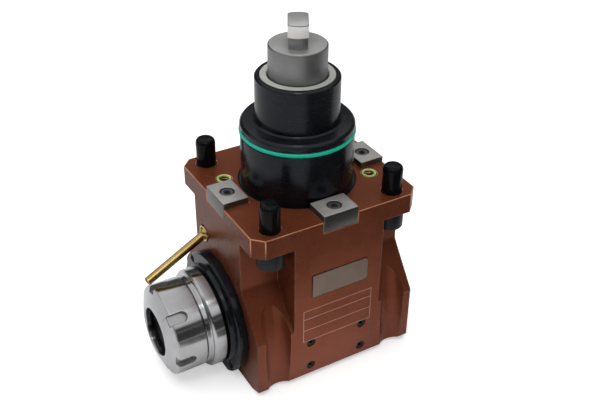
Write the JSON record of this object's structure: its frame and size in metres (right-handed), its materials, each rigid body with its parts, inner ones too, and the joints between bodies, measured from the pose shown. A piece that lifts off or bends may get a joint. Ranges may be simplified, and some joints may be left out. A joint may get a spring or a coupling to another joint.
{
  "type": "driven tool holder",
  "caption": "Right-angle driven tool holder with a flanged housing, round shank, coupling tang, bevel gears and a collet spindle with clamping nut and coolant nozzle.",
  "frame": {"origin": "on the housing's flat base, under the shank axis", "axes": "+Z along the shank towards its coupling tang, -Y along the spindle towards the clamping nut, +X towards the side with the blank plate"},
  "size_m": [0.1125, 0.1752, 0.2393],
  "materials": {
    "brown_coated_steel": "satin brown conversion coating",
    "black_nitrided_steel": "glossy black nitrided",
    "polished_steel": "fine turned and polished",
    "ground_steel": "ground",
    "bearing_steel": "polished",
    "gear_steel": "hardened and ground",
    "slate_screw_steel": "oiled black oxide",
    "black_vinyl": "glossy soft vinyl",
    "brass": "bright drawn brass",
    "turquoise_rubber": "smooth",
    "pale_green_rubber": "smooth",
    "beige_seal_rubber": "matte",
    "grey_plate": "satin"
  },
  "bodies": {
    "housing": {"housing": "brown_coated_steel", "shank_sleeve": "black_nitrided_steel", "shank_o_ring": "turquoise_rubber", "shaft_seal": "beige_seal_rubber", "bearing_cover": "black_nitrided_steel", "spindle_seal": "beige_seal_rubber", "rear_cover": "black_nitrided_steel", "channel_plug": "slate_screw_steel", "blank_plate": "grey_plate", "port_seal_front": "pale_green_rubber", "port_seal_back": "pale_green_rubber", "upper_bearing_outer_ring": "bearing_steel", "lower_bearing_outer_ring": "bearing_steel", "front_bearing_outer_ring": "bearing_steel", "rear_bearing_outer_ring": "bearing_steel", "cover_screw_1": "slate_screw_steel", "rear_cover_screw_1": "slate_screw_steel", "mounting_screw_1": "slate_screw_steel", "side_plug_1": "slate_screw_steel", "cover_screw_2": "slate_screw_steel", "rear_cover_screw_2": "slate_screw_steel", "mounting_screw_2": "slate_screw_steel", "side_plug_2": "slate_screw_steel", "cover_screw_3": "slate_screw_steel", "rear_cover_screw_3": "slate_screw_steel", "mounting_screw_3": "slate_screw_steel", "side_plug_3": "slate_screw_steel", "cover_screw_4": "slate_screw_steel", "rear_cover_screw_4": "slate_screw_steel", "mounting_screw_4": "slate_screw_steel", "side_plug_4": "slate_screw_steel", "locating_key_front": "ground_steel", "key_screw_front": "slate_screw_steel", "locating_key_back": "ground_steel", "key_screw_back": "slate_screw_steel", "locating_key_left": "ground_steel", "key_screw_left": "slate_screw_steel", "locating_key_right": "ground_steel", "key_screw_right": "slate_screw_steel"},
    "drive_shaft": {"drive_shaft": "ground_steel", "drive_gear": "gear_steel", "upper_bearing_inner_ring": "bearing_steel", "lower_bearing_inner_ring": "bearing_steel"},
    "spindle": {"spindle": "polished_steel", "spindle_gear": "gear_steel", "spindle_lock_nut": "slate_screw_steel", "front_bearing_inner_ring": "bearing_steel", "rear_bearing_inner_ring": "bearing_steel"},
    "nut_ring": {"nut_friction_ring": "polished_steel"},
    "clamp_nut": {"clamp_nut": "polished_steel"},
    "nozzle_seat": {"nozzle_seat": "brass"},
    "nozzle_tube": {"nozzle_tube": "brass"},
    "upper_bearing_cage": {"upper_bearing_balls": "bearing_steel"},
    "lower_bearing_cage": {"lower_bearing_balls": "bearing_steel"},
    "front_bearing_cage": {"front_bearing_balls": "bearing_steel"},
    "rear_bearing_cage": {"rear_bearing_balls": "bearing_steel"},
    "thread_cap_1": {"thread_cap_1": "black_vinyl"},
    "thread_cap_2": {"thread_cap_2": "black_vinyl"},
    "thread_cap_3": {"thread_cap_3": "black_vinyl"},
    "thread_cap_4": {"thread_cap_4": "black_vinyl"}
  },
  "joints": [
    {"name": "drive_spin", "type": "hinge", "parent": "housing", "child": "drive_shaft", "pos_m": [0, 0, 0], "axis": [0, 0, 1], "continuous": true},
    {"name": "spindle_spin", "type": "hinge", "parent": "housing", "child": "spindle", "pos_m": [0, 0, 0.037], "axis": [0, -1, 0], "continuous": true},
    {"name": "nut_travel", "type": "slide", "parent": "spindle", "child": "nut_ring", "axis": [0, -1, 0], "range_m": [0, 0.0075]},
    {"name": "nut_turn", "type": "hinge", "parent": "nut_ring", "child": "clamp_nut", "pos_m": [0, 0, 0.037], "axis": [0, -1, 0], "range_deg": [0, 1800]},
    {"name": "nozzle_turn", "type": "hinge", "parent": "housing", "child": "nozzle_seat", "pos_m": [-0.0207, -0.0596, 0.0889], "axis": [0, -1, 0], "range_deg": [-30, 30]},
    {"name": "nozzle_tilt", "type": "hinge", "parent": "nozzle_seat", "child": "nozzle_tube", "pos_m": [-0.0207, -0.0596, 0.0889], "axis": [1, 0, 0], "range_deg": [-40, 0]},
    {"name": "upper_bearing_roll", "type": "hinge", "parent": "housing", "child": "upper_bearing_cage", "pos_m": [0, 0, 0], "axis": [0, 0, 1], "continuous": true},
    {"name": "lower_bearing_roll", "type": "hinge", "parent": "housing", "child": "lower_bearing_cage", "pos_m": [0, 0, 0], "axis": [0, 0, 1], "continuous": true},
    {"name": "front_bearing_roll", "type": "hinge", "parent": "housing", "child": "front_bearing_cage", "pos_m": [0, 0, 0.037], "axis": [0, -1, 0], "continuous": true},
    {"name": "rear_bearing_roll", "type": "hinge", "parent": "housing", "child": "rear_bearing_cage", "pos_m": [0, 0, 0.037], "axis": [0, -1, 0], "continuous": true},
    {"name": "cap_1_pull", "type": "slide", "parent": "housing", "child": "thread_cap_1", "axis": [0, 0, 1], "range_m": [0, 0.025]},
    {"name": "cap_2_pull", "type": "slide", "parent": "housing", "child": "thread_cap_2", "axis": [0, 0, 1], "range_m": [0, 0.025]},
    {"name": "cap_3_pull", "type": "slide", "parent": "housing", "child": "thread_cap_3", "axis": [0, 0, 1], "range_m": [0, 0.025]},
    {"name": "cap_4_pull", "type": "slide", "parent": "housing", "child": "thread_cap_4", "axis": [0, 0, 1], "range_m": [0, 0.025]}
  ],
  "couplings": [
    {"joint": "spindle_spin", "follows": "drive_spin", "ratio": -1},
    {"joint": "nut_travel", "follows": "nut_turn", "m_per_rad": 0.00023873},
    {"joint": "upper_bearing_roll", "follows": "drive_spin", "ratio": 0.447},
    {"joint": "lower_bearing_roll", "follows": "drive_spin", "ratio": 0.429},
    {"joint": "front_bearing_roll", "follows": "drive_spin", "ratio": -0.443},
    {"joint": "rear_bearing_roll", "follows": "drive_spin", "ratio": -0.423}
  ]
}
